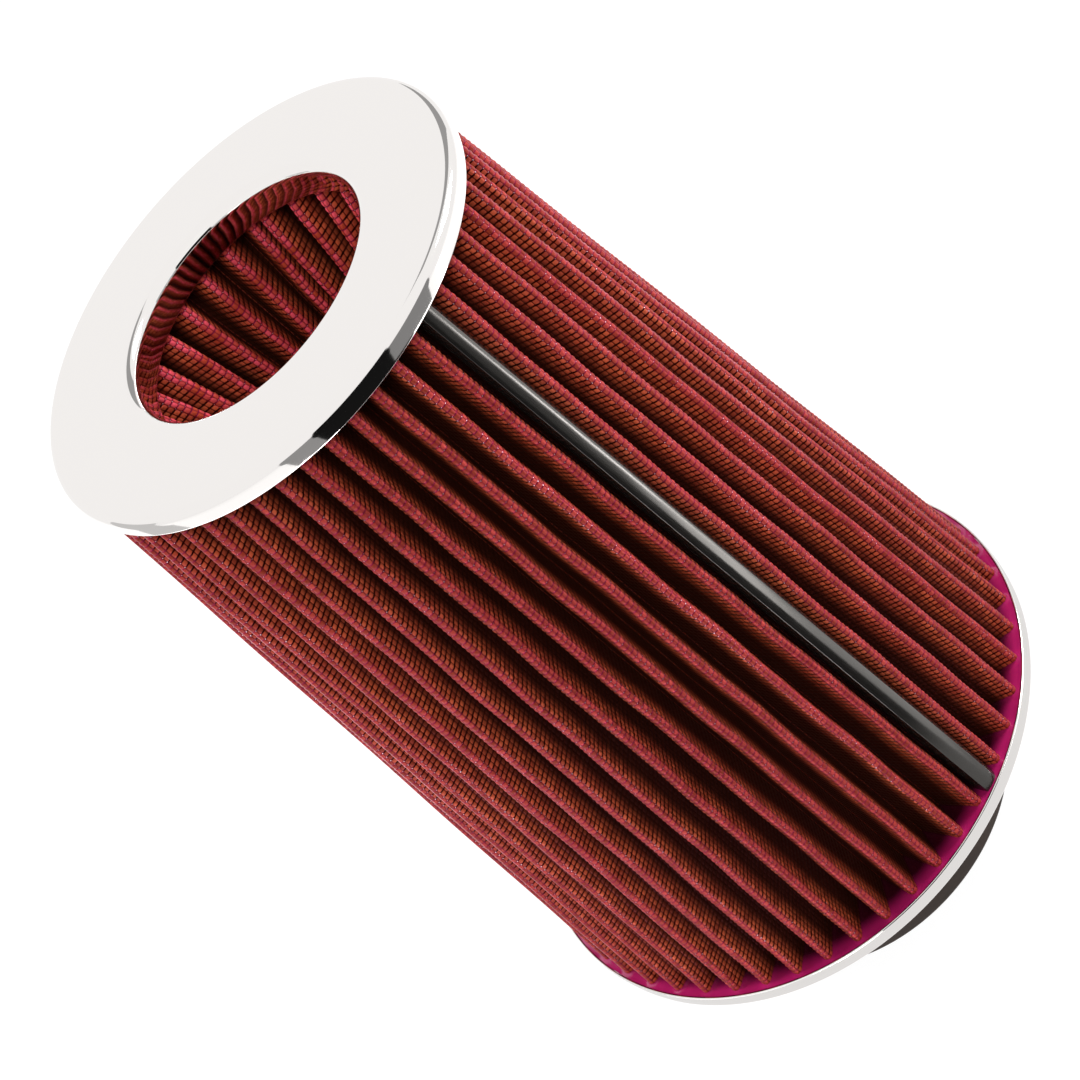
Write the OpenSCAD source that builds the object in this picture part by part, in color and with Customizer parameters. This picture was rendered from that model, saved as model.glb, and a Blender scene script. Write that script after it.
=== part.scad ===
// Cone air filter with a pleated outer cone, an inverted pleated inner cone and a slip-on flange.
// It stands on the end of its flange, with the origin at the centre of that end and +Z up through the cap.
// The name strip runs down the -Y side.

/* [Heights] */
// Length of the flange neck below the base ring
neck_length = 40; // [20:1:80]
// Height from the underside of the base ring to the top face of the cap
element_height = 241.7; // [150:0.1:400]

/* [Cap] */
// Outside diameter of the cap
cap_diameter = 132.6; // [120:0.1:160]
// Height of the cap's outer skirt
skirt_height = 5.8; // [5:0.1:9]
// Clear diameter inside the turned-down lip of the hole
hole_diameter = 73.2; // [60:0.1:78]
// Depth of the turned-down lip below the top face
lip_depth = 9.6; // [8:0.1:14]
// Radius of the bend between the top face and the lip
lip_bend = 3; // [1.5:0.1:4]
// Radius of the bend between the top face and the skirt
shoulder_bend = 2.6; // [1.5:0.1:4]
// Thickness of the chromed sheet of the cap and the base ring
sheet = 0.8; // [0.5:0.1:1.2]
// Thickness of the rolled edges of the chromed sheet
hem = 1.1; // [1:0.05:1.4]

/* [Base ring] */
// Outside diameter of the base ring
ring_diameter = 172.1; // [160:0.1:200]
// Height of the base ring
ring_height = 5; // [4.5:0.1:10]
// Width of the lip turned in under the flange plate
ring_lap = 4; // [2:0.1:8]

/* [Flange] */
// Bore of the flange, the outside diameter of the tube that it slips on
inlet_bore = 101.6; // [76.2:0.1:110]
// Wall of the flange neck
neck_wall = 6.35; // [4:0.05:10]
// Thickness of the plate that carries the filter element
plate_thickness = 2.2; // [1.5:0.1:3]
// Radius of the trumpet mouth at the inner end of the bore
mouth_radius = 4; // [2:0.1:6]
// Radius of the rounded outer edge at the end of the neck
neck_edge = 1.5; // [0.5:0.1:3]
// Radius of the fillet between the neck and the plate
neck_fillet = 4; // [2:0.1:8]

/* [Potting] */
// Depth that the top potting fills below the cap's face sheet
top_potting_depth = 4.7; // [3:0.1:5]
// Radial width of the ring of base potting
base_potting_width = 22; // [18:0.5:26]
// How far the base potting stays below the rim of the base ring
potting_reveal = 0.3; // [0:0.05:1]
// Clearance between the cast pieces and the sheet round them
fit_gap = 0.1; // [0.05:0.01:0.2]

/* [Pleats] */
// Thickness of the pleated pack of gauze and wire cloth
pack = 1.3; // [1:0.1:2]
// Space left between the two panels inside a fold
fold_space = 0.2; // [0.1:0.05:0.8]
// Number of folds in the outer cone
outer_folds = 48; // [36:1:52]
// Radial depth of the outer folds
outer_depth = 14; // [10:0.5:15]
// Gap between the outer folds and the inside of the cap's skirt
top_reveal = 1.6; // [0.8:0.1:3]
// Gap between the outer folds and the inside of the base ring
base_reveal = 1.2; // [0.8:0.1:3]
// How far the folds crowd towards one side, in degrees
fold_drift = 3.5; // [0:0.1:5]
// How unevenly they crowd, in degrees
fold_skew = 1.4; // [0:0.1:2]

/* [Inner cone] */
// Number of folds in the inner cone
inner_folds = 26; // [18:1:26]
// Depth of the inner cone below the top face
inner_cone_depth = 84; // [50:1:110]
// Radius of the clear space between the folds at the bottom of the inner cone
inner_end_radius = 16; // [14:0.5:20]
// Distance between the two folds that lie close together at the seam
seam_pitch = 4.3; // [4:0.1:6]
// Direction of the seam, in degrees from +X
seam_angle = 44; // [0:1:359]
// Gap between the lip of the hole and the inner folds
lip_gap = 0.2; // [0.1:0.05:1]
// Least gap between the inner and the outer folds, under the cap
cone_gap = 1.2; // [0.8:0.1:4]
// Thickness of the moulded cap that closes the inner cone
end_cap_height = 9; // [6:0.5:14]
// How far that cap reaches past the folds that it closes
end_cap_overhang = 1.5; // [0.5:0.1:3]
// Radius of its lower edge
end_cap_edge = 2; // [1:0.1:4]

/* [Name strip] */
// Width of the strip under the cap
strip_width_top = 5; // [4:0.1:6]
// Width of the strip at the base ring
strip_width_base = 6; // [5:0.1:8]
// Thickness of the strip
strip_thickness = 4; // [3:0.1:5]
// How far the strip stands out past the folds
strip_proud = 0.3; // [0:0.05:0.6]
// Width of the slanting face along the strip's +X edge
strip_bevel = 1.5; // [0.5:0.05:1.8]
// Radius of the strip's long edges
strip_edge = 0.3; // [0.2:0.05:0.5]
// How far the middle of the front face stands out past its long edges
strip_crown = 0.4; // [0.05:0.05:0.5]
// Gap between the strip and the fold on each side of it
strip_side_gap = 2.3; // [1:0.1:3]

/* [Hidden] */

$fn = 96;
// Segments in the bend of a fold, and in a rounded edge and the front face of the strip
bend_steps = 5;
edge_steps = 3;
crown_steps = 6;
// Enough to reach past a surface when cutting
past = 1;

strip_angle = -90;

cap_r = cap_diameter / 2;
hole_r = hole_diameter / 2;
ring_r = ring_diameter / 2;
bore_r = inlet_bore / 2;
neck_r = bore_r + neck_wall;

// Levels, from the floor up
ring_bottom = neck_length;
ring_top = ring_bottom + ring_height;
plate_bottom = ring_bottom + sheet;
plate_top = plate_bottom + plate_thickness;
pleat_bottom = ring_top - potting_reveal;
face = ring_bottom + element_height;
pleat_top = face - sheet - top_potting_depth;
inner_bottom = face - inner_cone_depth;
lip_bottom = face - lip_depth;

// Radii of a bend in the folded pack, at the middle of the sheet and at its outer face
bend_r = (fold_space + pack) / 2;
bend_outside = bend_r + pack / 2;

// Crests of the outer folds, under the cap and at the base ring
crest_top = cap_r - sheet - top_reveal;
crest_base = ring_r - sheet - base_reveal;

// Crests of the inner folds: just outside the lip at its lower edge, and narrowing from there
inner_crest_lip = hole_r + sheet + lip_gap;
inner_slope = (inner_crest_lip - inner_end_radius) / (lip_bottom - inner_bottom);
inner_crest_top = inner_crest_lip + inner_slope * (pleat_top - lip_bottom);
inner_depth = crest_top - outer_depth - cone_gap - inner_crest_top;

// Distance between the two folds beside the strip
strip_pitch = strip_width_base + 2 * strip_side_gap + 2 * bend_outside;

function polar(r, a) = [r * cos(a), r * sin(a)];
function heading(p) = atan2(p[1], p[0]);
function arc_degrees(length, r) = length / r * 180 / PI;
function half_turn(a) = a > 180 ? a - 360 : a < -180 ? a + 360 : a;
function between(low, high, part) = low + (high - low) * part;

// Middles of the angles of a closed row of folds, each with the next one
function middles(a) = [for (i = [0:len(a) - 1]) (a[i] + (i + 1 < len(a) ? a[i + 1] : a[0] + 360)) / 2];

// Radius of the outer crests at a level
function crest_radius(z) = between(crest_base, crest_top, (z - pleat_bottom) / (pleat_top - pleat_bottom));

// Angles of the outer folds at a level. The pack leaves a wide valley for the strip, and crowds a little
// round the far side of the cone.
last_fold = 360 + strip_angle - arc_degrees(strip_pitch, crest_base - bend_outside) / 2;
function outer_angles(z) =
    let (valley = arc_degrees(strip_pitch, crest_radius(z) - bend_outside),
         pitch = (360 - valley) / (outer_folds - 1),
         last = outer_folds - 1)
    [for (i = [0:last])
        last_fold - (last - i) * pitch + fold_drift * sin(180 * i / last) - fold_skew * sin(360 * i / last)];

// Angle of the middle of the strip's valley at a level
function strip_angle_at(z) =
    last_fold - 360 + arc_degrees(strip_pitch, crest_radius(z) - bend_outside) / 2;

// Angles of the inner folds, where the bends towards the hole lie on a radius r. The seam closes the row.
function inner_angles(r) =
    let (seam = arc_degrees(seam_pitch, r), pitch = (360 - seam) / (inner_folds - 1))
    [for (i = [0:inner_folds - 1]) seam_angle + seam / 2 + i * pitch];

// The turn from the line between two bend centres to the panel's tangent point
function tangent_turn(from, to) = acos(2 * bend_r / norm(to - from));

// Half the sweep of an outer bend, towards the inner bend before it or after it
function sweep_before(out, a, inner) = half_turn(a - heading(inner - out) - tangent_turn(out, inner));
function sweep_after(out, a, inner) = half_turn(heading(inner - out) - tangent_turn(out, inner) - a);

// One face of a folded pack at a level, as a list of points. The outward bends lie at the angles outs on
// radius r_out, the inward bends at ins on r_in. Side is 1 for the outer face, -1 for the inner one.
function folded_face(outs, ins, r_out, r_in, side, z) =
    let (n = len(outs),
         o = [for (a = outs) polar(r_out, a)],
         m = [for (a = ins) polar(r_in, a)],
         before = [for (i = [0:n - 1]) outs[i] - sweep_before(o[i], outs[i], m[(i + n - 1) % n])],
         after = [for (i = [0:n - 1]) outs[i] + sweep_after(o[i], outs[i], m[i])],
         half = side * pack / 2)
    [for (i = [0:n - 1])
        let (back = after[i] + 180, front = (i + 1 < n ? before[i + 1] : before[0] + 360) + 180)
        for (bend = [0, 1], step = [0:bend_steps])
            let (part = step / bend_steps,
                 p = bend == 0
                     ? o[i] + polar(bend_r + half, between(before[i], after[i], part))
                     : m[i] + polar(bend_r - half, between(back, front, part)))
            [p[0], p[1], z]];

// A folded pack lofted between two levels. Each level holds its two faces.
module folded_pack(low, high) {
    n = len(low[0]);
    points = concat(low[0], low[1], high[0], high[1]);
    faces = [for (i = [0:n - 1])
        let (j = (i + 1) % n)
        each [[i, i + 2 * n, j + 2 * n, j],
              [i + n, j + n, j + 3 * n, i + 3 * n],
              [i, j, j + n, i + n],
              [i + 2 * n, i + 3 * n, j + 3 * n, j + 2 * n]]];
    polyhedron(points, faces, convexity = 20);
}

// Both faces of the outer pack at a level
function outer_level(z) =
    let (outs = outer_angles(z), ins = middles(outs), r = crest_radius(z))
    [for (side = [1, -1])
        folded_face(outs, ins, r - bend_outside, r - outer_depth + bend_outside, side, z)];

// Both faces of the inner pack at a level
function inner_level(z) =
    let (r_in = inner_crest_lip + inner_slope * (z - lip_bottom) + bend_outside,
         r_out = r_in + inner_depth - 2 * bend_outside,
         ins = inner_angles(r_in),
         halfway = middles(ins),
         outs = concat([halfway[inner_folds - 1] - 360], [for (i = [0:inner_folds - 2]) halfway[i]]))
    [for (side = [1, -1]) folded_face(outs, ins, r_out, r_in, side, z)];

// A quarter of a bend in sheet metal, centred on the origin, in the quadrant that the turn picks
module sheet_bend(outside_r, turn) {
    rotate(turn)
        intersection() {
            difference() {
                circle(outside_r);
                circle(outside_r - sheet);
            }
            square(outside_r + past);
        }
}

// Chromed ring over the top: a flat face, a rounded shoulder with a hemmed skirt, and a lip turned down
// into the hole
module top_cap() {
    color("gainsboro")
        rotate_extrude() {
            translate([hole_r + lip_bend, face - sheet])
                square([cap_r - shoulder_bend - hole_r - lip_bend, sheet]);
            translate([cap_r - shoulder_bend, face - shoulder_bend])
                sheet_bend(shoulder_bend, 0);
            translate([cap_r - sheet, face - skirt_height + hem / 2])
                square([sheet, skirt_height - shoulder_bend - hem / 2]);
            translate([cap_r - hem / 2, face - skirt_height + hem / 2])
                circle(d = hem);
            translate([hole_r + lip_bend, face - lip_bend])
                sheet_bend(lip_bend, 90);
            translate([hole_r, lip_bottom + sheet / 2])
                square([sheet, lip_depth - lip_bend - sheet / 2]);
            translate([hole_r + sheet / 2, lip_bottom + sheet / 2])
                circle(d = sheet);
        }
}

// Cast ring that bonds both packs to the underside of the cap
module top_potting() {
    color("mediumvioletred")
        rotate_extrude()
            translate([hole_r + lip_bend + fit_gap, pleat_top])
                square([cap_r - shoulder_bend - hole_r - lip_bend - 2 * fit_gap, top_potting_depth]);
}

// Outer cone: one pack of gauze between wire cloth, folded all the way round
module outer_pleats() {
    color("firebrick")
        folded_pack(outer_level(pleat_bottom), outer_level(pleat_top));
}

// Inner cone: the same pack, narrowing downwards inside the hole
module inner_pleats() {
    color("firebrick")
        folded_pack(inner_level(inner_bottom), inner_level(pleat_top));
}

// Moulded cap that closes the bottom of the inner cone
module inner_end_cap() {
    end_r = inner_end_radius + inner_depth + end_cap_overhang;
    color("dimgray")
        translate([0, 0, inner_bottom - end_cap_height])
            rotate_extrude() {
                square([end_r - end_cap_edge, end_cap_height]);
                translate([0, end_cap_edge])
                    square([end_r, end_cap_height - end_cap_edge]);
                translate([end_r - end_cap_edge, end_cap_edge])
                    circle(end_cap_edge);
            }
}

// Rounded corner of the strip's section, from one direction to the other
function rounded(x, y, from, to) =
    [for (i = [0:edge_steps]) [x, y] + polar(strip_edge, between(from, to, i / edge_steps))];

// Points of the crowned front face between its two ends
function crowned(from, to) =
    [for (i = [1:crown_steps - 1])
        let (part = i / crown_steps)
        between(from, to, part) + [0, 4 * strip_crown * part * (1 - part)]];

// Section of the strip for a width: x runs across it, and y outwards from the edges of its front face
function strip_section(width) =
    let (half = width / 2, e = strip_edge, slant = 45, run = strip_bevel * cos(slant),
         right = half - run - e * tan(slant / 2),
         left = -half + e,
         lean = atan(4 * strip_crown / (right - left)),
         right_edge = rounded(right, -e, slant, 90 - lean),
         left_edge = rounded(left, -e, 90 + lean, 180))
    concat([[half, -strip_thickness]],
           rounded(half - e, -run - e * (1 - sin(slant)), 0, slant),
           right_edge,
           crowned(right_edge[edge_steps], left_edge[0]),
           left_edge,
           [[-half, -strip_thickness]]);

// The strip's section, set into its valley at a level
function strip_level(width, z) =
    let (a = strip_angle_at(z), r = crest_radius(z) + strip_proud)
    [for (p = strip_section(width))
        let (q = polar(r + p[1], a) + polar(p[0], a + 90)) [q[0], q[1], z]];

// Plain glossy strip that stands in the wide valley, from the base potting to the top potting
module name_strip() {
    low = strip_level(strip_width_base, pleat_bottom);
    high = strip_level(strip_width_top, pleat_top);
    n = len(low);
    sides = [for (i = [0:n - 1])
        let (j = (i + 1) % n)
        each [[i, i + n, j + n], [i, j + n, j]]];
    ends = [[for (i = [0:n - 1]) i], [for (i = [n - 1:-1:0]) i + n]];
    color("black")
        polyhedron(concat(low, high), concat(sides, ends), convexity = 4);
}

// Chromed band round the base, with a rolled rim and a lip turned in under the flange plate
module base_ring() {
    color("gainsboro")
        rotate_extrude() {
            translate([ring_r - sheet, ring_bottom + sheet])
                square([sheet, ring_height - sheet - sheet / 2]);
            translate([ring_r - sheet / 2, ring_top - sheet / 2])
                circle(d = sheet);
            translate([ring_r - sheet, ring_bottom + sheet])
                sheet_bend(sheet, -90);
            translate([ring_r - ring_lap, ring_bottom])
                square([ring_lap - sheet, sheet]);
        }
}

// Cast ring of coloured urethane in the base ring, that the outer folds stand on
module base_potting() {
    outer_r = ring_r - sheet - fit_gap;
    color("mediumvioletred")
        rotate_extrude()
            translate([outer_r - base_potting_width, plate_top])
                square([base_potting_width, pleat_bottom - plate_top]);
}

// Rubber flange: a neck that slips over the intake tube, a plate under the element and a trumpet mouth
module flange() {
    plate_r = ring_r - sheet - fit_gap;
    color("dimgray")
        rotate_extrude() {
            difference() {
                union() {
                    translate([bore_r, neck_edge])
                        square([neck_wall, plate_top - neck_edge]);
                    translate([bore_r, 0])
                        square([neck_wall - neck_edge, neck_edge]);
                    translate([neck_r - neck_edge, neck_edge])
                        circle(neck_edge);
                    translate([bore_r, plate_bottom])
                        square([plate_r - bore_r, plate_thickness]);
                    translate([neck_r, plate_bottom - neck_fillet])
                        difference() {
                            square(neck_fillet);
                            translate([neck_fillet, 0])
                                circle(neck_fillet);
                        }
                }
                translate([bore_r, plate_top - mouth_radius])
                    difference() {
                        translate([-past, 0])
                            square([mouth_radius + past, mouth_radius + past]);
                        translate([mouth_radius, 0])
                            circle(mouth_radius);
                    }
            }
        }
}

top_cap();
top_potting();
outer_pleats();
inner_pleats();
inner_end_cap();
name_strip();
base_ring();
base_potting();
flange();
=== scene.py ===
"""Cone air filter: the finish of every surface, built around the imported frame.

The model is in millimetres up to the point where a mesh is made, and the frame is in metres.
"""

import math
from collections import namedtuple

import bpy
import numpy as np
from mathutils import Matrix, Vector


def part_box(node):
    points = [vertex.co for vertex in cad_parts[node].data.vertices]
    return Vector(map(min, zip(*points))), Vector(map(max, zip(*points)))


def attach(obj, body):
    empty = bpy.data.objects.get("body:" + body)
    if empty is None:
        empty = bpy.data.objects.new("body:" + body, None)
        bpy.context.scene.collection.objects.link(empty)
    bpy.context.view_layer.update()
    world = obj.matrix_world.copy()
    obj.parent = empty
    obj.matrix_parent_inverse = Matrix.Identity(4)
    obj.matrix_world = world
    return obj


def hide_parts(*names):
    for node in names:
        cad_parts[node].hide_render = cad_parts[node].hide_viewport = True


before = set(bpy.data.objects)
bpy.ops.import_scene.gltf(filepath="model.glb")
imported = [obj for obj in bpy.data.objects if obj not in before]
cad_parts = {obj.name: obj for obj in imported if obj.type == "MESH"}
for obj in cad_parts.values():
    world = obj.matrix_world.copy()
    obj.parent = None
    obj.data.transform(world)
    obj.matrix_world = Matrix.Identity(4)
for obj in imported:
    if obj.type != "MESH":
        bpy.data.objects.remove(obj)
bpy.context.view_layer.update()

MM = 0.001


# Sizes that the frame gives
def corner(node, side):
    """The lowest (0) or highest (1) corner of a CAD node, in millimetres."""
    return Vector(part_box(node)[side]) / MM


face = corner("top_cap", 1).z
cap_r = corner("top_cap", 1).x
lip_bottom = corner("top_cap", 0).z
ring_r = corner("base_ring", 1).x
ring_bottom = corner("base_ring", 0).z
ring_top = corner("base_ring", 1).z
pleat_bottom = corner("outer_pleats", 0).z
pleat_top = corner("outer_pleats", 1).z
inner_bottom = corner("inner_pleats", 0).z
plate_top = corner("base_potting", 0).z

# Sizes that the CAD model names
hole_r = 36.6
skirt_height = 5.8
lip_bend = 3.0
shoulder_bend = 2.6
sheet = 0.8
hem = 1.1
ring_lap = 4.0
bore_r = 50.8
neck_wall = 6.35
plate_thickness = 2.2
mouth_radius = 4.0
neck_edge = 1.5
neck_fillet = 4.0
base_potting_width = 22.0
fit_gap = 0.1
pack = 1.3
fold_space = 0.2
outer_folds = 48
outer_depth = 14.0
top_reveal = 1.6
base_reveal = 1.2
fold_drift = 3.5
fold_skew = 1.4
inner_folds = 26
inner_end_radius = 16.0
seam_pitch = 4.3
seam_angle = 44.0
lip_gap = 0.2
cone_gap = 1.2
strip_width_top = 5.0
strip_width_base = 6.0
strip_thickness = 4.0
strip_proud = 0.3
strip_bevel = 1.5
strip_edge = 0.3
strip_crown = 0.4
strip_side_gap = 2.3
strip_angle = -90.0

# Sizes that follow from them, as in the CAD model
neck_r = bore_r + neck_wall
plate_r = ring_r - sheet - fit_gap
plate_bottom = plate_top - plate_thickness
bend_r = (fold_space + pack) / 2
bend_outside = bend_r + pack / 2
bend_inside = bend_r - pack / 2
crest_top = cap_r - sheet - top_reveal
crest_base = ring_r - sheet - base_reveal
inner_crest_lip = hole_r + sheet + lip_gap
inner_slope = (inner_crest_lip - inner_end_radius) / (lip_bottom - inner_bottom)
inner_crest_top = inner_crest_lip + inner_slope * (pleat_top - lip_bottom)
inner_depth = crest_top - outer_depth - cone_gap - inner_crest_top
strip_pitch = strip_width_base + 2 * strip_side_gap + 2 * bend_outside

# Wire cloth: openings between the wires, across the folds and along them
mesh_across = 1.6
mesh_along = 1.82
# How far the gauze bulges out of an opening, and how far the wires sink in
bulge = 0.16
sink = 0.07
# Developed distances from a crest: where painted shade starts and is full, and where the darker painted
# shade of the depths starts and is darkest
shade_starts = 2.6
shade_ends = 5.4
depth_shade_starts = 3.6
depth_shade_ends = 7.6
# Openings modelled on each bend of the pack
bend_cells = 4
# Unevenness of the folds: sideways and in depth
fold_wobble = 0.22
fold_rise = 0.12
# Lengths of the waves along the folds in which they are uneven
long_wave = 90
middle_wave = 55
short_wave = 31
# The potting: its depth under the folds' ends, the height and reach of its climb at the folds and at the
# wall, and its steps round and across
potting_below = 0.12
fold_climb = 0.55
fold_climb_reach = 0.55
wall_climb = 0.25
wall_climb_reach = 0.6
potting_turns = 960
potting_rows = 34
# Turned pieces: steps round the axis, the longest stretch of an outline, and the angle of a sharp corner
lathe_steps = 288
longest_stretch = 4.0
crease = 35.0
# Slant of the strip's bevel, in degrees, steps in each of its rounds, and levels along it
bevel_slant = 45.0
strip_steps = 6
strip_levels = 58


# Angles
def unit(angle):
    """The unit vector that points at an angle."""
    return np.stack([np.cos(angle), np.sin(angle)], -1)


def heading(vector):
    """The angle at which a vector points."""
    return np.arctan2(vector[..., 1], vector[..., 0])


def half_turn(angle):
    """The same angle within half a turn of 0."""
    return (angle + math.pi) % (2 * math.pi) - math.pi


# Meshes
def add_mesh(name, points, faces, material, replaces, sharp, uvs=None):
    """A piece on the root body that takes the place of the CAD nodes in replaces.

    Points are in millimetres, sharp picks the sharp edges by the vertices at their ends, and uvs gives one
    point for each vertex."""
    mesh = bpy.data.meshes.new(name)
    mesh.from_pydata((np.asarray(points, float) * MM).tolist(), [], faces)
    mesh.update()
    if uvs is not None:
        layer = mesh.uv_layers.new(name="UVMap")
        corners = np.zeros(len(mesh.loops), np.int32)
        mesh.loops.foreach_get("vertex_index", corners)
        layer.data.foreach_set("uv", np.asarray(uvs, np.float32)[corners].ravel())
    mesh.polygons.foreach_set("use_smooth", [True] * len(mesh.polygons))
    ends = np.zeros(len(mesh.edges) * 2, np.int32)
    mesh.edges.foreach_get("vertices", ends)
    flag = mesh.attributes.new("sharp_edge", "BOOLEAN", "EDGE")
    flag.data.foreach_set("value", sharp(ends.reshape(-1, 2)))
    mesh.materials.append(material)
    piece = bpy.data.objects.new(name, mesh)
    bpy.context.scene.collection.objects.link(piece)
    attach(piece, "root")
    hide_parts(*replaces)


def arc(r, z, radius, start, end, steps):
    """Points of an arc in the (r, z) half plane, with angles in degrees."""
    turns = np.radians(np.linspace(start, end, steps + 1))
    return [(r + radius * math.cos(t), z + radius * math.sin(t)) for t in turns]


def with_stops(outline):
    """The closed outline with no stretch over longest_stretch, so that the finish stays even."""
    points = []
    for here, there in zip(outline, outline[1:] + outline[:1]):
        length = math.dist(here, there)
        if length < 1e-6:
            continue
        count = max(1, math.ceil(length / longest_stretch))
        points += [
            (here[0] + (there[0] - here[0]) * k / count, here[1] + (there[1] - here[1]) * k / count)
            for k in range(count)
        ]
    return points


def lathe(name, outline, material, replaces):
    """A closed outline in the (r, z) half plane, turned about the axis. Corners over the crease are sharp."""
    path = np.array(with_stops(outline))
    count = len(path)
    angle = np.linspace(0, 2 * math.pi, lathe_steps, endpoint=False)
    x = np.outer(np.cos(angle), path[:, 0])
    y = np.outer(np.sin(angle), path[:, 0])
    z = np.outer(np.ones(lathe_steps), path[:, 1])
    vertices = np.stack([x, y, z], -1).reshape(-1, 3)
    faces = []
    for i in range(lathe_steps):
        j = (i + 1) % lathe_steps
        for k in range(count):
            m = (k + 1) % count
            faces.append((i * count + k, j * count + k, j * count + m, i * count + m))
    into = heading(path - np.roll(path, 1, 0))
    out = heading(np.roll(path, -1, 0) - path)
    is_corner = np.abs(half_turn(out - into)) > math.radians(crease)

    def sharp(ends):
        same = ends[:, 0] % count == ends[:, 1] % count
        return same & is_corner[ends[:, 0] % count]

    add_mesh(name, vertices, faces, material, replaces, sharp)


# The folded packs
Sheet = namedtuple("Sheet", "vertices faces uvs ring rows columns")


def middles(angles):
    """Middles of a closed row of angles, each with the next one."""
    return (angles + np.append(angles[1:], angles[0] + 2 * math.pi)) / 2


def crest_radius(z):
    """Radius of the outer pack's crests at a level."""
    return crest_base + (crest_top - crest_base) * (z - pleat_bottom) / (pleat_top - pleat_bottom)


last_fold = 2 * math.pi + math.radians(strip_angle) - strip_pitch / (crest_base - bend_outside) / 2


def outer_angles(z):
    """Angles of the outer folds at a level, crowding a little round the far side of the cone."""
    last = outer_folds - 1
    valley = strip_pitch / (crest_radius(z) - bend_outside)
    pitch = (2 * math.pi - valley) / last
    i = np.arange(outer_folds)
    crowd = fold_drift * np.sin(math.pi * i / last) - fold_skew * np.sin(2 * math.pi * i / last)
    return last_fold - (last - i) * pitch + np.radians(crowd)


def strip_angle_at(z):
    """Angle of the middle of the strip, in the wide valley after the last fold."""
    return last_fold - 2 * math.pi + strip_pitch / (crest_radius(z) - bend_outside) / 2


def inner_angles(r):
    """Angles of the inner folds, where the bends towards the hole lie on a radius r."""
    seam = seam_pitch / r
    pitch = (2 * math.pi - seam) / (inner_folds - 1)
    return math.radians(seam_angle) + seam / 2 + np.arange(inner_folds) * pitch


def wobble(count, height, seed):
    """Sideways and depth unevenness of each fold along its height, as a function of a share of it."""
    draw = np.random.default_rng(seed)
    phase = draw.uniform(0, 2 * math.pi, (3, count))

    def at(share):
        middle, short, long = (
            np.sin(2 * math.pi * (height / wave) * share + p)
            for wave, p in zip((middle_wave, short_wave, long_wave), phase)
        )
        hold = min(1.0, 8 * share, 8 * (1 - share))
        return hold * fold_wobble * (middle + 0.6 * short) / 1.6, hold * fold_rise * long

    return at


outer_wobble = wobble(outer_folds, pleat_top - pleat_bottom, 11)
inner_wobble = wobble(inner_folds, pleat_top - inner_bottom, 12)


def outer_level(z):
    """Angles and radii of the outward and inward bends of the outer pack at a level."""
    side, rise = outer_wobble((z - pleat_bottom) / (pleat_top - pleat_bottom))
    r = crest_radius(z) - bend_outside
    outs = outer_angles(z) + side / r
    return outs, middles(outs), r + rise, crest_radius(z) - outer_depth + bend_outside


def inner_level(z):
    """The same of the inner pack, whose bends towards the hole are the ones that show."""
    side, rise = inner_wobble((z - inner_bottom) / (pleat_top - inner_bottom))
    r_in = inner_crest_lip + inner_slope * (z - lip_bottom) + bend_outside
    ins = inner_angles(r_in) + side / r_in
    halfway = middles(ins)
    outs = np.append(halfway[-1] - 2 * math.pi, halfway[:-1])
    return outs, ins, r_in + inner_depth - 2 * bend_outside, r_in + np.maximum(rise, 0)


def bend_frames(level, side):
    """The wide bends on one face of a pack at a level: their centres, the angles where each starts and
    ends, and the points where the panels beside it meet the narrow bends."""
    outs, ins, r_out, r_in = level
    o = np.atleast_1d(r_out)[:, None] * unit(outs)
    m = np.atleast_1d(r_in)[:, None] * unit(ins)
    to_next = m - o
    to_last = np.roll(m, 1, 0) - o
    before = outs - half_turn(
        outs - heading(to_last) - np.arccos(2 * bend_r / np.linalg.norm(to_last, axis=1)))
    after = outs + half_turn(
        heading(to_next) - np.arccos(2 * bend_r / np.linalg.norm(to_next, axis=1)) - outs)
    if side > 0:
        centre, start, end = o, before, after
        behind, ahead = np.roll(m, 1, 0), m
    else:
        centre, start = m, after + math.pi
        end = np.append(before[1:], before[0] + 2 * math.pi) + math.pi
        behind, ahead = o, np.roll(o, -1, 0)
    first = behind + bend_inside * unit(start + math.pi)
    final = ahead + bend_inside * unit(end + math.pi)
    return centre, start, end, first, final


def face_columns(level, side, across):
    """Points and normals of one face of a pack at a level. Across is the developed distance of each
    column from the middle of its wide bend; the two outermost columns are where the panels end."""
    centre, start, end, first, final = bend_frames(level, side)
    middle = (start + end) / 2
    half = np.abs(end - start) / 2 * bend_outside
    points, normals = [], []
    for s in across.T:
        turn = middle + side * np.clip(s, -half, half) / bend_outside
        past = s - np.clip(s, -half, half)
        normal = unit(turn)
        points.append(centre + bend_outside * normal + past[:, None] * side * unit(turn + math.pi / 2))
        normals.append(normal)
    points = [first] + points + [final]
    normals = [unit(start)] + normals + [unit(end)]
    return np.stack(points, 1), np.stack(normals, 1)


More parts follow.
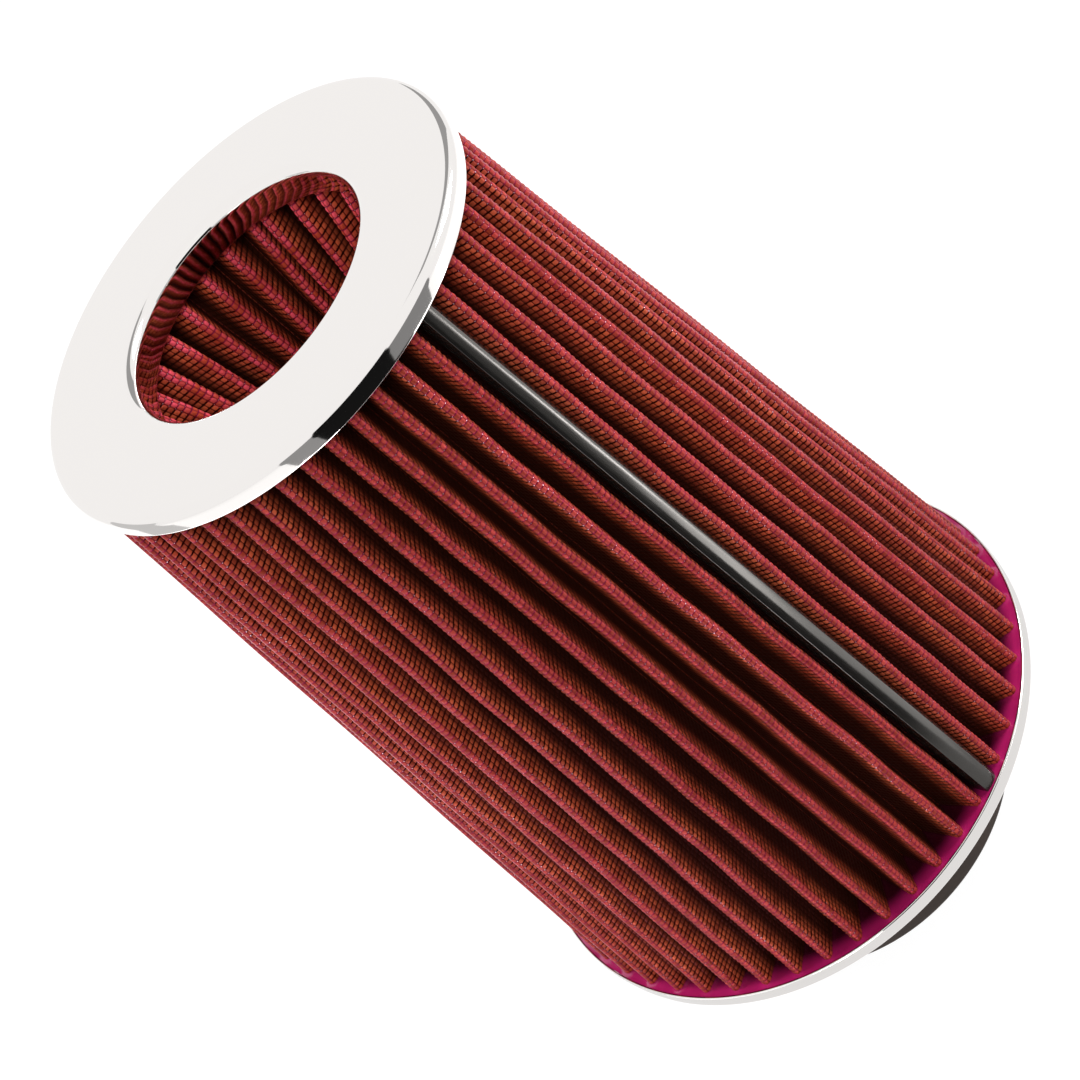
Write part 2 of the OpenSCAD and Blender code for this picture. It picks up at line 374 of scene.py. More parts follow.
def pack_face(level_at, z_low, z_high, side, folds, panel_cells, seed):
    """One face of a pack as a grid of wire cloth.

    Wires run along the lines between the openings, and each opening is a pillow with a raised middle."""
    rows = round((z_high - z_low) / mesh_along)
    # Two columns to each opening on the bend, and one to each on the panels beside it
    fine = np.arange(-bend_cells, bend_cells + 1) / 2
    coarse = bend_cells // 2 + 1 + np.arange(panel_cells)
    steps = np.concatenate([-coarse[::-1], fine, coarse]) * mesh_across
    draw = np.random.default_rng(seed)
    phase = draw.uniform(-0.5, 0.5, folds) * mesh_across
    across = steps[None, :] + phase[:, None]
    columns = len(steps) + 2
    # Columns through the middle of an opening, where the cloth sinks in less than at the wires
    mid = np.zeros(columns, bool)
    mid[1:-1] = np.isclose(np.mod(np.abs(steps) / mesh_across, 1), 0.5)
    levels = np.linspace(z_low, z_high, rows + 1)

    vertices, uvs = [], []
    for j, z in enumerate(levels):
        points, normals = face_columns(level_at(z), side, across)
        depth = np.where(mid, -0.4 * sink, -sink)
        depth[[0, -1]] = 0
        if j in (0, rows):
            depth[:] = 0
        points = points + depth[None, :, None] * normals
        grid = np.zeros((folds, columns, 3))
        grid[..., :2] = points
        grid[..., 2] = z
        vertices.append(grid.reshape(-1, 3))
        u = np.zeros((folds, columns))
        u[:, 1:-1] = steps
        u[:, 0] = -np.linalg.norm(points[:, 0] - points[:, 1], axis=1) + steps[0]
        u[:, -1] = np.linalg.norm(points[:, -1] - points[:, -2], axis=1) + steps[-1]
        uvs.append(np.stack([u, np.full_like(u, j * mesh_along)], -1).reshape(-1, 2))
    ring = folds * columns
    count = (rows + 1) * ring

    # Raised middles of the openings: on a bend a middle lies on a column, and on a panel between two
    bend_middles = [c for c in range(1, columns - 1) if mid[c]]
    panel_starts = [c for c in range(1, columns - 2) if not mid[c] and not mid[c + 1]]
    middle_steps = np.append(
        steps[[c - 1 for c in bend_middles]],
        [steps[c - 1] + mesh_across / 2 for c in panel_starts],
    )
    hubs = len(middle_steps)
    for j in range(rows):
        z = (levels[j] + levels[j + 1]) / 2
        points, normals = face_columns(level_at(z), side, middle_steps[None, :] + phase[:, None])
        grid = np.zeros((folds, hubs, 3))
        grid[..., :2] = (points + bulge * normals)[:, 1:-1]
        grid[..., 2] = z
        vertices.append(grid.reshape(-1, 3))
        u = np.tile(middle_steps, (folds, 1))
        uvs.append(np.stack([u, np.full_like(u, (j + 0.5) * mesh_along)], -1).reshape(-1, 2))

    faces = []

    def add(*loop):
        faces.append(loop if side > 0 else loop[::-1])

    for j in range(rows):
        low, high = j * ring, (j + 1) * ring
        for i in range(folds):
            base = i * columns
            cells = [(base + c - 1, 2) for c in bend_middles] + [(base + c, 1) for c in panel_starts]
            for k, (a, width) in enumerate(cells):
                hub = count + (j * folds + i) * hubs + k
                around = [low + a + n for n in range(width + 1)]
                around += [high + a + n for n in reversed(range(width + 1))]
                for p, q in zip(around, around[1:] + around[:1]):
                    add(p, q, hub)
            for a in (base, base + columns - 2):
                add(low + a, low + a + 1, high + a + 1, high + a)
            a, b = base + columns - 1, ((i + 1) % folds) * columns
            add(low + a, low + b, high + b, high + a)
    return Sheet(np.concatenate(vertices), faces, np.concatenate(uvs), ring, rows, columns)


def plain_face(level_at, z_low, z_high, side, folds, levels):
    """One face of a pack that hardly shows, with few rows and no pillows. Its columns stay on the bends."""
    across = np.tile(np.linspace(-0.5, 0.5, 9) * math.pi * bend_outside * 0.94, (folds, 1))
    columns = across.shape[1] + 2
    vertices, uvs = [], []
    for z in np.linspace(z_low, z_high, levels + 1):
        points, _ = face_columns(level_at(z), side, across)
        grid = np.zeros((folds, columns, 3))
        grid[..., :2] = points
        grid[..., 2] = z
        vertices.append(grid.reshape(-1, 3))
        u = np.zeros((folds, columns))
        u[:, 1:-1] = across
        u[:, 0] = across[:, 0] - np.linalg.norm(points[:, 0] - points[:, 1], axis=1)
        u[:, -1] = across[:, -1] + np.linalg.norm(points[:, -1] - points[:, -2], axis=1)
        uvs.append(np.stack([u, np.full_like(u, z - z_low)], -1).reshape(-1, 2))
    ring = folds * columns
    faces = []
    for j in range(levels):
        for a in range(ring):
            b = (a + 1) % ring
            loop = (j * ring + a, j * ring + b, (j + 1) * ring + b, (j + 1) * ring + a)
            faces.append(loop if side > 0 else loop[::-1])
    return Sheet(np.concatenate(vertices), faces, np.concatenate(uvs), ring, levels, columns)


def folded_pack(name, level_at, z_low, folds, shown_side, panel_cells, material, seed):
    """A closed folded sheet up to the potting. The side that shows carries the pillows of the wire cloth."""
    z_high = pleat_top
    shown = pack_face(level_at, z_low, z_high, shown_side, folds, panel_cells, seed)
    back = plain_face(level_at, z_low, z_high, -shown_side, folds, levels=6)
    start = len(shown.vertices)
    vertices = np.concatenate([shown.vertices, back.vertices])
    uvs = np.concatenate([shown.uvs, back.uvs])
    faces = shown.faces + [tuple(start + v for v in loop) for loop in back.faces]

    # Faces that close the sheet at its two ends, one for each fold
    outer, inner = (shown, back) if shown_side > 0 else (back, shown)
    outer_start, inner_start = (0, start) if shown_side > 0 else (start, 0)
    for top in (False, True):
        outer_ring = outer_start + (outer.rows * outer.ring if top else 0)
        inner_ring = inner_start + (inner.rows * inner.ring if top else 0)
        half = outer.columns // 2
        for i in range(folds):
            nxt = (i + 1) % folds
            way_out = [outer_ring + i * outer.columns + c for c in range(half, outer.columns)]
            way_out += [outer_ring + nxt * outer.columns + c for c in range(half + 1)]
            way_in = [inner_ring + nxt * inner.columns]
            way_in += [inner_ring + i * inner.columns + c for c in reversed(range(inner.columns))]
            loop = tuple(way_out + way_in)
            faces.append(loop[::-1] if top else loop)
    rim = (vertices[:, 2] < z_low + 1e-6) | (vertices[:, 2] > z_high - 1e-6)

    def sharp(ends):
        return rim[ends[:, 0]] & rim[ends[:, 1]]

    add_mesh(name, vertices, faces, material, (name,), sharp, uvs)


# Materials
class Finish:
    """A node material with one Principled shader, and short ways to add nodes to it."""

    def __init__(self, name, **sockets):
        self.material = bpy.data.materials.new(name)
        self.material.use_nodes = True
        self.tree = self.material.node_tree
        self.shader = self.tree.nodes["Principled BSDF"]
        for key, value in sockets.items():
            self.shader.inputs[key.replace("_", " ")].default_value = value

    def node(self, kind, **settings):
        made = self.tree.nodes.new(kind)
        for key, value in settings.items():
            setattr(made, key, value)
        return made

    def join(self, value, socket):
        """Links an output to a socket, or sets the socket to a number."""
        if isinstance(value, bpy.types.NodeSocket):
            self.tree.links.new(value, socket)
        else:
            socket.default_value = value

    def math(self, operation, *values):
        made = self.node("ShaderNodeMath", operation=operation)
        for value, socket in zip(values, made.inputs):
            self.join(value, socket)
        return made.outputs[0]

    def mix(self, share, first, second):
        made = self.node("ShaderNodeMix", data_type="RGBA")
        self.join(share, made.inputs["Factor"])
        for value, key in ((first, 6), (second, 7)):
            if isinstance(value, tuple) and len(value) == 3:
                value = (*value, 1.0)
            self.join(value, made.inputs[key])
        return made.outputs[2]

    def blend(self, share, first, second):
        """A number between two others."""
        made = self.node("ShaderNodeMix", data_type="FLOAT")
        for value, socket in zip((share, first, second), (made.inputs[0], made.inputs[2], made.inputs[3])):
            self.join(value, socket)
        return made.outputs[0]

    def smooth(self, value, low, high):
        """0 below low, 1 above high and a smooth step between."""
        made = self.node("ShaderNodeMapRange", interpolation_type="SMOOTHSTEP")
        self.join(value, made.inputs["Value"])
        made.inputs["From Min"].default_value = low
        made.inputs["From Max"].default_value = high
        return made.outputs[0]

    def noise(self, coordinates, scale, detail=2.0):
        made = self.node("ShaderNodeTexNoise")
        self.join(coordinates, made.inputs["Vector"])
        made.inputs["Scale"].default_value = scale
        made.inputs["Detail"].default_value = detail
        return made.outputs["Fac"]

    def place(self):
        """Coordinates on the object, in metres."""
        return self.node("ShaderNodeTexCoord").outputs["Object"]

    def scaled(self, coordinates, scale):
        made = self.node("ShaderNodeMapping")
        self.join(coordinates, made.inputs["Vector"])
        made.inputs["Scale"].default_value = scale
        return made.outputs[0]

    def bump(self, height, distance, strength):
        made = self.node("ShaderNodeBump")
        self.join(height, made.inputs["Height"])
        made.inputs["Distance"].default_value = distance
        made.inputs["Strength"].default_value = strength
        return made.outputs[0]

    def set(self, key, value):
        self.join(value, self.shader.inputs[key])


def wire_cloth(name, bend_wire, crest_dark, crest_light):
    """Oiled cotton gauze that bulges through a fine red-lacquered wire cloth. It reads uvs in millimetres.

    Bend_wire is how much of the wires shows on the bends; past the bends the wires are darker, partly painted
    shade between the pillows. The openings on the bends have colours from crest_dark to crest_light."""
    f = Finish(name, Specular_IOR_Level=0.2, Specular_Tint=(1.0, 0.09, 0.48, 1.0))
    parts = f.node("ShaderNodeSeparateXYZ")
    f.join(f.node("ShaderNodeUVMap", uv_map="UVMap").outputs[0], parts.inputs[0])
    u = f.math("DIVIDE", parts.outputs[0], mesh_across)
    v = f.math("DIVIDE", parts.outputs[1], mesh_along)

    # Distance from the middle of the opening, 0 to 1 at the wires
    du = f.math("ABSOLUTE", f.math("MULTIPLY_ADD", f.math("FRACT", u), 2.0, -1.0))
    dv = f.math("ABSOLUTE", f.math("MULTIPLY_ADD", f.math("FRACT", v), 2.0, -1.0))
    deep = f.math("ABSOLUTE", parts.outputs[0])
    past_bend = f.smooth(deep, 0.5 * mesh_across, 1.5 * mesh_across)
    long_wire = f.smooth(du, 0.78, 0.98)
    cross_wire = f.blend(past_bend, f.smooth(dv, 0.70, 0.90), f.smooth(dv, 0.60, 0.86))
    wire = f.math("MAXIMUM", f.math("MULTIPLY", long_wire, 0.45), cross_wire)
    wire = f.math("MULTIPLY", wire, f.math("MULTIPLY_ADD", past_bend, 0.92 - bend_wire, bend_wire))
    # Painted shade down in the folds; in it the wire lines fade by half
    in_shade = f.smooth(deep, shade_starts, shade_ends)
    wire = f.math("MULTIPLY", wire, f.math("MULTIPLY_ADD", in_shade, -0.5, 1.0))
    crown_across = f.math("SUBTRACT", 1.0, f.math("POWER", du, 2.5))
    crown_along = f.math("SUBTRACT", 1.0, f.math("POWER", dv, 2.0))
    pillow = f.math("MULTIPLY", crown_across, crown_along)

    # A number for each opening
    cell = f.node("ShaderNodeCombineXYZ")
    f.join(f.math("FLOOR", u), cell.inputs[0])
    f.join(f.math("FLOOR", v), cell.inputs[1])
    chance = f.node("ShaderNodeTexWhiteNoise", noise_dimensions="3D")
    f.join(cell.outputs[0], chance.inputs["Vector"])
    each = chance.outputs["Value"]

    fibres = f.noise(f.place(), 2600.0, detail=3.0)
    patches = f.noise(f.place(), 38.0, detail=2.0)
    flank = f.mix(each, (0.37, 0.062, 0.025), (0.74, 0.146, 0.056))
    # The crests are redder and pinker than the flanks: partly the cloth's own tone, partly a painted pink
    # highlight
    crest = f.mix(each, crest_dark, crest_light)
    cotton = f.mix(past_bend, crest, flank)
    cotton = f.mix(f.math("MULTIPLY", f.smooth(patches, 0.35, 0.68), 0.3), cotton, (0.46, 0.040, 0.040))
    cotton = f.mix(f.math("MULTIPLY", f.smooth(fibres, 0.45, 0.8), 0.3), cotton, (0.58, 0.14, 0.09))
    # Painted shade: the rims of the openings darken, and past the bends rims and wires go nearly black as in
    # the shade between the pillows; the wires are partly dark of their own
    edge = f.mix(past_bend, (0.30, 0.026, 0.018), (0.120, 0.018, 0.008))
    low = f.mix(f.smooth(pillow, 0.05, 0.6), edge, cotton)
    colour = f.mix(wire, low, f.mix(past_bend, (0.26, 0.016, 0.070), (0.020, 0.004, 0.004)))

    # Painted shade: the pack is darkened down in the folds, where shade falls
    colour = f.mix(f.math("MULTIPLY", in_shade, 0.42), colour, (0.055, 0.012, 0.006))
    colour = f.mix(f.smooth(deep, depth_shade_starts, depth_shade_ends), colour, (0.040, 0.009, 0.004))

    # Bare crossings that glint on the bends
    crossing = f.math("MULTIPLY", f.smooth(du, 0.80, 0.92), f.smooth(dv, 0.76, 0.90))
    on_bend = f.math("LESS_THAN", deep, 1.5 * mesh_across)
    bare = f.math("MULTIPLY", crossing, f.math("MULTIPLY", on_bend, f.math("GREATER_THAN", each, 0.80)))
    colour = f.mix(bare, colour, (0.95, 0.78, 0.85))
    f.set("Base Color", colour)
    f.set("Metallic", f.math("MULTIPLY_ADD", f.math("MAXIMUM", wire, bare), 0.85, 0.08))
    f.set("Roughness", f.math("MULTIPLY_ADD", fibres, 0.18, 0.30))
    height = f.math("ADD", pillow, f.math("MULTIPLY", fibres, 0.12))
    f.set("Normal", f.bump(height, 0.00022, 0.7))
    return f.material


def chrome():
    """Polished chrome on stamped sheet, faintly uneven."""
    f = Finish("chrome", Metallic=1.0)
    f.set("Base Color", (0.88, 0.852, 0.832, 1.0))
    smear = f.noise(f.place(), 22.0, detail=3.0)
    f.set("Roughness", f.math("MULTIPLY_ADD", smear, 0.05, 0.035))
    f.set("Normal", f.bump(f.noise(f.place(), 30.0, detail=1.0), 0.00012, 0.5))
    return f.material


def potting():
    """Glossy magenta cast urethane."""
    f = Finish("potting", Specular_IOR_Level=0.6, Coat_Weight=0.6, Coat_Roughness=0.06)
    mottle = f.noise(f.place(), 120.0, detail=2.0)
    glow = f.mix(mottle, (0.34, 0.006, 0.085), (0.50, 0.016, 0.15))
    radius = f.node("ShaderNodeVectorMath", operation="LENGTH")
    f.join(f.scaled(f.place(), (1.0, 1.0, 0.0)), radius.inputs[0])
    # Painted shade: deep between the folds the potting is darkened nearly to black
    near_wall = f.smooth(radius.outputs["Value"], (crest_base - 6.0) * MM, crest_base * MM)
    f.set("Base Color", f.mix(near_wall, (0.030, 0.001, 0.006), glow))
    f.set("Roughness", f.math("MULTIPLY_ADD", mottle, 0.12, 0.16))
    f.set("Normal", f.bump(f.noise(f.place(), 260.0, detail=1.0), 0.00018, 0.6))
    return f.material


def black_strip():
    """Glossy black moulded strip with fine lengthwise draw marks."""
    f = Finish("black_strip", Specular_IOR_Level=0.8, Specular_Tint=(1.0, 0.94, 0.88, 1.0))
    marks = f.noise(f.scaled(f.place(), (900.0, 900.0, 9.0)), 1.0, detail=2.0)
    f.set("Base Color", f.mix(marks, (0.008, 0.0076, 0.007), (0.018, 0.017, 0.016)))
    f.set("Roughness", f.math("MULTIPLY_ADD", marks, 0.12, 0.14))
    f.set("Normal", f.bump(marks, 0.00003, 0.5))
    return f.material


def rubber():
    """Smooth moulded rubber with a faint bloom."""
    f = Finish("rubber", Specular_IOR_Level=0.3, Specular_Tint=(1.0, 0.86, 0.80, 1.0))
    bloom = f.noise(f.place(), 60.0, detail=4.0)
    grain = f.noise(f.place(), 2200.0, detail=2.0)
    f.set("Base Color", f.mix(f.smooth(bloom, 0.35, 0.7), (0.046, 0.033, 0.027), (0.076, 0.054, 0.045)))
    f.set("Roughness", f.math("MULTIPLY_ADD", bloom, 0.18, 0.42))
    f.set("Normal", f.bump(grain, 0.00006, 0.5))
    return f.material


# Pieces
def cap_outline():
    """Section of the cap: face, shoulder, skirt, hem, and the lip turned down into the hole."""
    skirt_end = face - skirt_height + hem / 2
    hem_r = cap_r - hem / 2
    lip_z = lip_bottom + sheet / 2
    outline = arc(cap_r - shoulder_bend, face - shoulder_bend, shoulder_bend, 90, 0, 12)
    outline += arc(hem_r, skirt_end, hem / 2, 0, -180, 10)
    # Over the hem the wall tapers to the thickness of the sheet
    outline += [(cap_r - hem + 0.02, skirt_end + 0.2), (cap_r - sheet, skirt_end + hem / 2)]
    outline += arc(cap_r - shoulder_bend, face - shoulder_bend, shoulder_bend - sheet, 0, 90, 8)
    outline += arc(hole_r + lip_bend, face - lip_bend, lip_bend - sheet, 90, 180, 8)
    outline += arc(hole_r + sheet / 2, lip_z, sheet / 2, 0, -180, 8)
    outline += arc(hole_r + lip_bend, face - lip_bend, lip_bend, 180, 90, 12)
    return outline


def ring_outline():
    """Section of the base ring: band, rolled rim, and the lap under the flange plate."""
    rim_z = ring_top - sheet / 2
    outline = [(ring_r - ring_lap, ring_bottom)]
    outline += arc(ring_r - sheet, ring_bottom + sheet, sheet, -90, 0, 8)
    outline += arc(ring_r - sheet / 2, rim_z, sheet / 2, 0, 180, 10)
    outline += [(ring_r - sheet, ring_bottom + sheet), (ring_r - ring_lap, ring_bottom + sheet)]
    return outline


def flange_outline():
    """Section of the flange: neck, plate and trumpet mouth."""
    outline = [(bore_r, 0.0)]
    outline += arc(neck_r - neck_edge, neck_edge, neck_edge, -90, 0, 8)
    outline += arc(neck_r + neck_fillet, plate_bottom - neck_fillet, neck_fillet, 180, 90, 10)
    outline += [(plate_r, plate_bottom), (plate_r, plate_top)]
    outline += arc(bore_r + mouth_radius, plate_top - mouth_radius, mouth_radius, 90, 180, 10)
    return outline


def near_fold_outline(points, z):
    """Distance from each (x, y) point to the outline of the outer pack's shown face at a level."""
    steps = np.linspace(-1, 1, 9) * bend_outside * math.pi / 2
    loop, _ = face_columns(outer_level(z), 1, np.tile(steps, (outer_folds, 1)))
    loop = loop.reshape(-1, 2)
    ahead = np.roll(loop, -1, 0) - loop
    length_squared = (ahead ** 2).sum(1)
    nearest = np.full(len(points), 1e9)
    for p, d, q in zip(loop, ahead, length_squared):
        share = np.clip(((points - p) @ d) / q, 0, 1)
        nearest = np.minimum(nearest, ((points - p - share[:, None] * d) ** 2).sum(1))
    return np.sqrt(nearest)


def base_potting(material):
    """Cast ring in the base ring. Its surface climbs a little at the folds and at the ring's wall."""
    outer_r = ring_r - sheet - fit_gap
    angle = np.linspace(0, 2 * math.pi, potting_turns, endpoint=False)
    radii = np.linspace(outer_r, outer_r - base_potting_width, potting_rows + 1)
    points = (radii[:, None, None] * unit(angle)[None]).reshape(-1, 2)
    from_fold = near_fold_outline(points, pleat_bottom)
    from_wall = outer_r - np.hypot(points[:, 0], points[:, 1])
    climb = fold_climb * np.exp(-from_fold / fold_climb_reach)
    climb += wall_climb * np.exp(-from_wall / wall_climb_reach)
    top = np.column_stack([points, pleat_bottom - potting_below + climb])
    foot_r = np.array([radii[0], radii[-1]])
    foot = (foot_r[:, None, None] * unit(angle)[None]).reshape(-1, 2)
    foot = np.column_stack([foot, np.full(len(foot), plate_top)])
    vertices = np.concatenate([top, foot])
    faces = []
    rings = [k * potting_turns for k in range(potting_rows + 1)] + [len(top) + potting_turns, len(top)]
    for a, b in zip(rings, rings[1:] + rings[:1]):
        for i in range(potting_turns):
            j = (i + 1) % potting_turns
            faces.append((a + i, a + j, b + j, b + i))
    edge = np.zeros(len(vertices), int)
    edge[:potting_turns] = 1
    edge[potting_rows * potting_turns:len(top)] = 2
    edge[len(top):len(top) + potting_turns] = 3
    edge[len(top) + potting_turns:] = 4

    def sharp(ends):
        return (edge[ends[:, 0]] > 0) & (edge[ends[:, 0]] == edge[ends[:, 1]])

    add_mesh("base_potting", vertices, faces, material, ("base_potting",), sharp)


def strip_section(width):
    """Section of the strip: x across it, and y outwards from its front face."""
    half = width / 2
    e = strip_edge
    slant = math.radians(bevel_slant)
    run = strip_bevel * math.cos(slant)
    right = half - run - e * math.tan(slant / 2)
    left = -half + e
    lean = math.degrees(math.atan(4 * strip_crown / (right - left)))
    right_edge = arc(right, -e, e, bevel_slant, 90 - lean, strip_steps)
    left_edge = arc(left, -e, e, 90 + lean, 180, strip_steps)
    start, stop = right_edge[-1], left_edge[0]
    section = [(half, -strip_thickness)]
    section += arc(half - e, -run - e * (1 - math.sin(slant)), e, 0, bevel_slant, strip_steps)
    section += right_edge
    for share in np.linspace(0, 1, 2 * strip_steps + 1)[1:-1]:
        x = start[0] + (stop[0] - start[0]) * share
        section.append((x, start[1] + 4 * strip_crown * share * (1 - share)))
    section += left_edge
    section += [(-half, -strip_thickness)]
    return section


def name_strip(material):
    """Plain glossy strip in the wide valley."""
    count = len(strip_section(strip_width_top))
    vertices = []
    for z in np.linspace(pleat_bottom, pleat_top, strip_levels + 1):
        share = (z - pleat_bottom) / (pleat_top - pleat_bottom)
        width = strip_width_base + (strip_width_top - strip_width_base) * share
        a = strip_angle_at(z)
        out, side = unit(a), unit(a + math.pi / 2)
        for x, y in strip_section(width):
            p = (crest_radius(z) + strip_proud + y) * out + x * side
            vertices.append((p[0], p[1], z))
    faces = []
    for j in range(strip_levels):
        for k in range(count):
            m = (k + 1) % count
            faces.append((j * count + k, j * count + m, (j + 1) * count + m, (j + 1) * count + k))
    faces.append(tuple(reversed(range(count))))
    faces.append(tuple(strip_levels * count + k for k in range(count)))

    def sharp(ends):
        column = ends % count
        along = column[:, 0] == column[:, 1]
        back_corner = along & np.isin(column[:, 0], (0, count - 1))
        rim = (ends < count).all(1) | (ends >= strip_levels * count).all(1)
        return back_corner | rim

    add_mesh("name_strip", vertices, faces, material, ("name_strip",), sharp)


finishes = {
    "chrome": chrome(),
    "potting": potting(),
    "outer": wire_cloth("outer_cloth", bend_wire=0.70,
                        crest_dark=(0.29, 0.036, 0.014), crest_light=(0.62, 0.072, 0.056)),
    # Painted light: the inner pack's crests are a brighter, pinker copy of the cloth, standing in for the
    # light and pink highlight on them
    "inner": wire_cloth("inner_cloth", bend_wire=0.80,
                        crest_dark=(0.44, 0.056, 0.020), crest_light=(0.92, 0.100, 0.160)),
    "strip": black_strip(),
    "rubber": rubber(),
}

lathe("top_cap", cap_outline(), finishes["chrome"], ("top_cap",))
lathe("base_ring", ring_outline(), finishes["chrome"], ("base_ring",))
lathe("flange", flange_outline(), finishes["rubber"], ("flange",))
base_potting(finishes["potting"])
name_strip(finishes["strip"])
folded_pack("outer_pleats", outer_level, pleat_bottom, outer_folds, shown_side=1, panel_cells=0,
            material=finishes["outer"], seed=21)
folded_pack("inner_pleats", inner_level, inner_bottom, inner_folds, shown_side=-1, panel_cells=3,
            material=finishes["inner"], seed=22)

# The two hidden pieces stay as the frame has them, with their finish
for node, key in (("top_potting", "potting"), ("inner_end_cap", "rubber")):
    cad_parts[node].data.materials.clear()
    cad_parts[node].data.materials.append(finishes[key])


# Studio
def camera_or_mirror(tree):
    """1 for what the camera sees, directly, in a reflection or through glass, and 0 for other light."""
    path = tree.nodes.new("ShaderNodeLightPath")
    seen = path.outputs["Is Camera Ray"]
    for key in ("Is Glossy Ray", "Is Transmission Ray"):
        either = tree.nodes.new("ShaderNodeMath")
        either.operation = "MAXIMUM"
        tree.links.new(seen, either.inputs[0])
        tree.links.new(path.outputs[key], either.inputs[1])
        seen = either.outputs[0]
    return seen


def shadow_floor():
    """White floor for the camera and in reflections, which still takes the object's shadow."""
    material = bpy.data.materials.new("floor")
    material.use_nodes = True
    tree = material.node_tree
    tree.nodes.clear()
    share = tree.nodes.new("ShaderNodeMath")
    share.operation = "MULTIPLY"
    tree.links.new(camera_or_mirror(tree), share.inputs[0])
    share.inputs[1].default_value = 0.8
    matt = tree.nodes.new("ShaderNodeBsdfDiffuse")
    matt.inputs["Color"].default_value = (0.8, 0.8, 0.8, 1.0)
    glow = tree.nodes.new("ShaderNodeEmission")
    glow.inputs["Strength"].default_value = 1.2
    mixed = tree.nodes.new("ShaderNodeMixShader")
    tree.links.new(share.outputs[0], mixed.inputs[0])
    tree.links.new(matt.outputs[0], mixed.inputs[1])
    tree.links.new(glow.outputs[0], mixed.inputs[2])
    out = tree.nodes.new("ShaderNodeOutputMaterial")
    tree.links.new(mixed.outputs[0], out.inputs["Surface"])
    return material


def add_floor():
    bpy.ops.mesh.primitive_plane_add(size=12.0, location=(0, 0, 0))
    floor = bpy.context.object
    floor.name = "floor"
    floor.data.materials.append(shadow_floor())


def white_world(ambient):
    """White for the camera and in reflections, and a softer light on everything else."""
    world = bpy.data.worlds.new("studio")
    bpy.context.scene.world = world
    world.use_nodes = True
    tree = world.node_tree
    back = tree.nodes["Background"]
    level = tree.nodes.new("ShaderNodeMapRange")
    tree.links.new(camera_or_mirror(tree), level.inputs["Value"])
    level.inputs["To Min"].default_value = ambient
    level.inputs["To Max"].default_value = 1.0
    back.inputs["Color"].default_value = (1.0, 1.0, 1.0, 1.0)
    tree.links.new(level.outputs[0], back.inputs["Strength"])


def add_lamp(name, toward, distance, size, power):
    """A soft square lamp that shines at the middle of the filter from a direction (azimuth, elevation)."""
    azimuth, elevation = (math.radians(v) for v in toward)
    way = Vector((
        math.cos(elevation) * math.cos(azimuth),
        math.cos(elevation) * math.sin(azimuth),
        math.sin(elevation),
    ))
    data = bpy.data.lights.new(name, "AREA")
    data.size = size
    data.energy = power
    lamp = bpy.data.objects.new(name, data)
    middle_of_filter = Vector((0, 0, 0.16))
    lamp.location = middle_of_filter + way * distance
    lamp.rotation_euler = (-way).to_track_quat("-Z", "Y").to_euler()
    bpy.context.scene.collection.objects.link(lamp)
    return lamp


def add_card(name, radii, levels, span, shade, steps=24):
    """A curved board about the axis that only the gloss of the object sees. Radii and levels give its two
    edges, and span the azimuths of its ends."""
    material = bpy.data.materials.new(name)
    material.use_nodes = True
    tree = material.node_tree
    tree.nodes.clear()
    glow = tree.nodes.new("ShaderNodeEmission")
    glow.inputs["Color"].default_value = (shade, shade, shade, 1.0)
    out = tree.nodes.new("ShaderNodeOutputMaterial")
    tree.links.new(glow.outputs[0], out.inputs["Surface"])
    vertices = []
    for a in np.radians(np.linspace(*span, steps + 1)):
        for r, z in zip(radii, levels):
            vertices.append((r * math.cos(a), r * math.sin(a), z))
    faces = [(2 * i, 2 * i + 2, 2 * i + 3, 2 * i + 1) for i in range(steps)]
    mesh = bpy.data.meshes.new(name)
    mesh.from_pydata(vertices, [], faces)
    mesh.materials.append(material)
    card = bpy.data.objects.new(name, mesh)
    bpy.context.scene.collection.objects.link(card)
    card.visible_camera = False
    card.visible_diffuse = False
    card.visible_shadow = False
    card.visible_transmission = False


def add_camera(aim, azimuth, elevation, distance, roll, lens):
    """A camera that looks at aim. Azimuth 0 looks along +Y, and roll turns it about its own axis."""
    course = math.radians(90 + azimuth)
    tilt = math.radians(elevation)
    forward = Vector((
        math.cos(tilt) * math.cos(course),
        math.cos(tilt) * math.sin(course),
        -math.sin(tilt),
    ))
    level = forward.cross(Vector((0, 0, 1))).normalized()
    upright = level.cross(forward)
    turn = math.radians(roll)
    right = math.cos(turn) * level + math.sin(turn) * upright
    up = right.cross(forward)
    data = bpy.data.cameras.new("camera")
    data.lens = lens
    data.sensor_width = 36.0
    camera = bpy.data.objects.new("camera", data)
    camera.matrix_world = Matrix((
        (right.x, up.x, -forward.x, 0),
        (right.y, up.y, -forward.y, 0),
        (right.z, up.z, -forward.z, 0),
        (0, 0, 0, 1),
    ))
    camera.location = (Vector(aim) - forward * distance) * MM
    bpy.context.scene.collection.objects.link(camera)
    bpy.context.scene.camera = camera


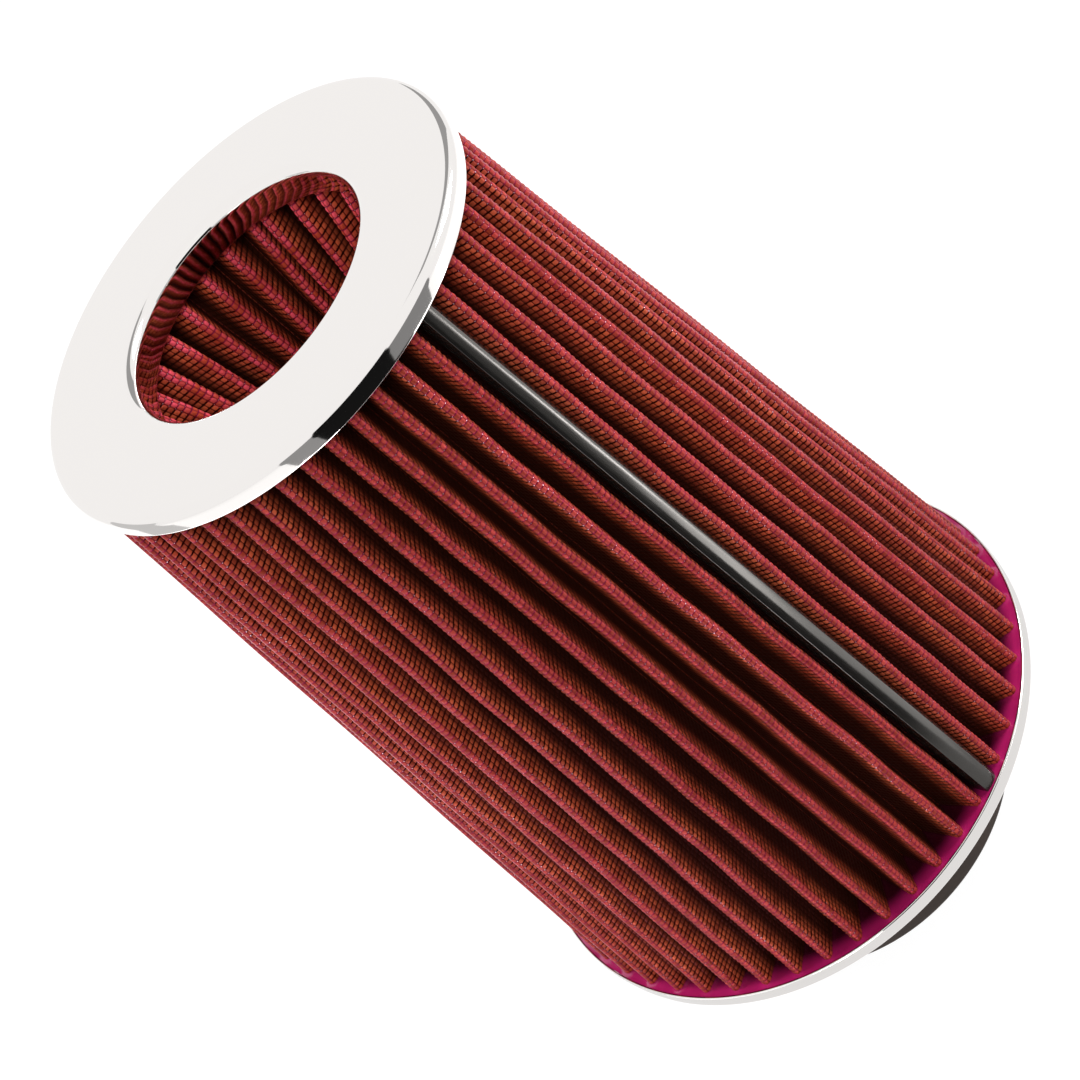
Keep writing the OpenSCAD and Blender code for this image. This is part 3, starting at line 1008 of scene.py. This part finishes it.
# Lamps and boards are placed in metres and the camera in millimetres, all of them with angles in degrees
add_floor()
white_world(ambient=0.14)
add_lamp("right", toward=(-18.0, 38.0), distance=1.1, size=0.40, power=9.5)
add_lamp("left", toward=(-232.0, 38.0), distance=1.1, size=0.40, power=9.0).visible_glossy = False
add_lamp("fill", toward=(-112.0, 52.0), distance=1.3, size=0.8, power=8.5).visible_glossy = False

# Boards: radii and levels of the two edges, azimuths of the two ends, and brightness. The dark and grey ones
# shape the chrome, and the bright ones the strip and the sides
add_card("dark_front", (0.40, 0.50), (0.0, 0.50), (-134.0, -92.0), 0.008)
add_card("dark_floor", (0.17, 0.41), (0.004, 0.004), (-134.0, -78.0), 0.008)
add_card("grey_right", (0.40, 0.50), (0.0, 0.36), (-92.0, -62.0), 0.24)
add_card("grey_floor_right", (0.38, 0.41), (0.005, 0.005), (-92.0, -62.0), 0.24)
add_card("grey_floor_left", (0.17, 0.41), (0.004, 0.004), (-150.0, -134.0), 0.30)
add_card("glow_strip_low", (0.14, 0.27), (0.006, 0.006), (-76.0, -50.0), 1.7)
add_card("glow_strip", (0.27, 0.37), (0.006, 0.006), (-77.0, -46.0), 6.0)
add_card("glow_strip_high", (0.43, 0.60), (0.006, 0.006), (-46.0, -15.0), 2.0)
add_card("glare_strip", (0.35, 0.60), (0.008, 0.008), (-53.0, -46.0), 15.0)
add_card("glare_edge_low", (0.14, 0.25), (0.006, 0.006), (-146.0, -132.0), 9.0)
add_card("glare_edge", (0.25, 0.37), (0.006, 0.006), (-158.0, -144.0), 9.0)
add_card("glare_right", (0.20, 0.60), (0.004, 0.004), (-10.0, 70.0), 1.7)
add_card("glare_left", (0.20, 0.39), (0.004, 0.004), (90.0, 195.0), 2.2)
add_card("pale_left", (0.40, 0.50), (0.0, 0.36), (-232.0, -209.0), 0.62)
add_card("grey_left", (0.40, 0.50), (0.0, 0.36), (-150.0, -134.0), 0.30)
add_card("grey_high", (0.90, 0.45), (0.44, 1.20), (12.0, 42.0), 0.35)
add_card("pale_foot", (0.10, 0.26), (0.002, 0.002), (-180.0, 180.0), 0.84, steps=96)
add_camera(aim=(0.32, -0.12, 160.37), azimuth=-20.43, elevation=38.18, distance=688.65,
           roll=-50.1, lens=83.62)
bpy.context.scene.view_settings.view_transform = "Standard"
